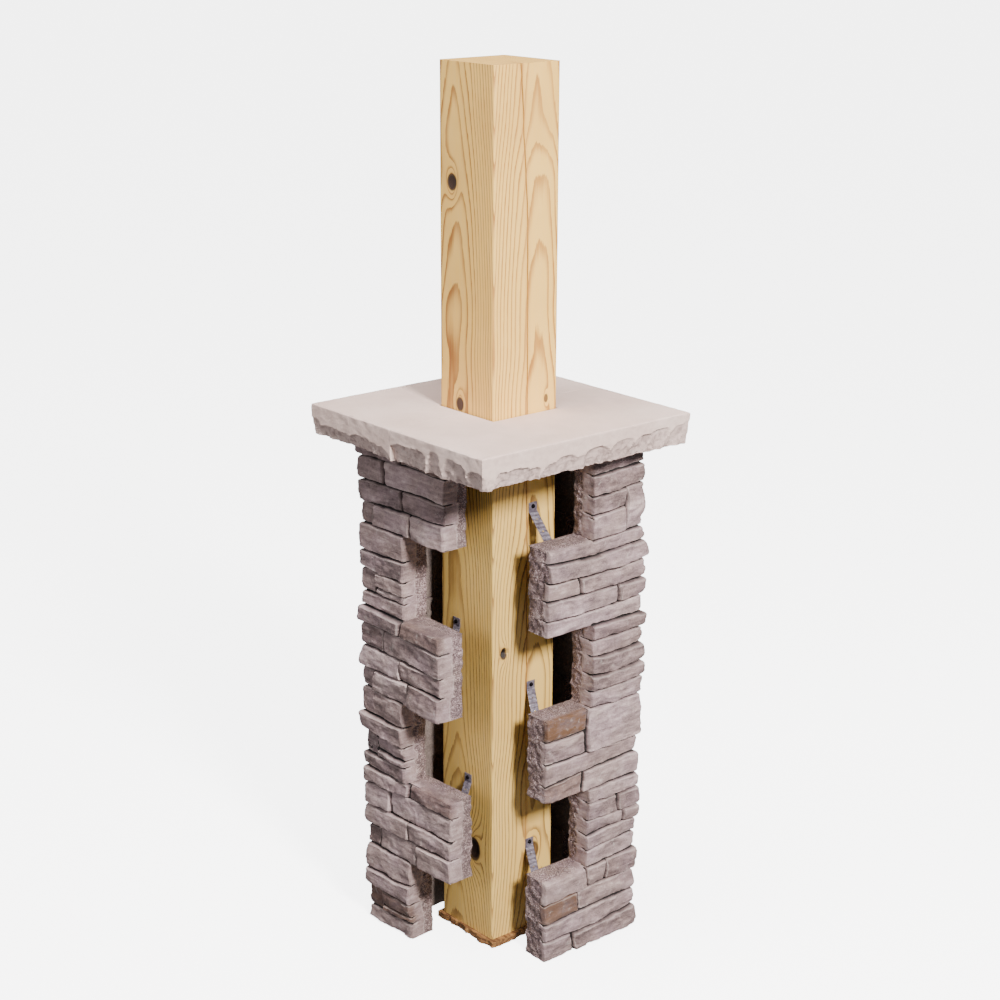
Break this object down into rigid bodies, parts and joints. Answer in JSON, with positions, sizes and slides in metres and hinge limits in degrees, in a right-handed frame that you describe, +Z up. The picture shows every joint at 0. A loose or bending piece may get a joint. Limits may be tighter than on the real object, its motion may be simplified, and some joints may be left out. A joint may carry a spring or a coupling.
{
  "type": "porch column wrap",
  "caption": "Interlocking cast stone corner units and a split cap stone round a timber porch post, with one corner left open to show the straps that hold the units.",
  "frame": {"origin": "middle of the column at floor level, under the middle of the cap stone", "axes": "+Z up along the post; the open corner faces +X -Y"},
  "size_m": [0.456, 0.456, 1.5488],
  "materials": {
    "cast_stone": "rough cast concrete in pinkish grey, with single darker and brown stones",
    "cap_stone": "fine cast concrete, pale pinkish grey, trowelled top and chipped edge",
    "pine": "planed softwood with open grain, knots and a drying check",
    "chipboard": "raw strand board with torn edges",
    "galvanised_steel": "dull galvanised, cross-ribbed",
    "dark_screw": "dark phosphate coat"
  },
  "bodies": {
    "root": {"left_corner_lower": "cast_stone", "left_corner_middle": "cast_stone", "left_corner_upper": "cast_stone", "right_corner_lower": "cast_stone", "right_corner_middle": "cast_stone", "right_corner_upper": "cast_stone", "back_corner_lower": "cast_stone", "back_corner_middle": "cast_stone", "back_corner_upper": "cast_stone", "cap_half_left": "cap_stone", "cap_half_right": "cap_stone", "timber_post": "pine", "chipboard_pad": "chipboard", "strap_right_upper": "galvanised_steel", "strap_right_middle": "galvanised_steel", "strap_right_lower": "galvanised_steel", "strap_left_upper": "galvanised_steel", "strap_left_lower": "galvanised_steel", "screw_right_upper": "dark_screw", "screw_right_middle": "dark_screw", "screw_right_lower": "dark_screw", "screw_left_upper": "dark_screw", "screw_left_lower": "dark_screw"}
  },
  "joints": []
}
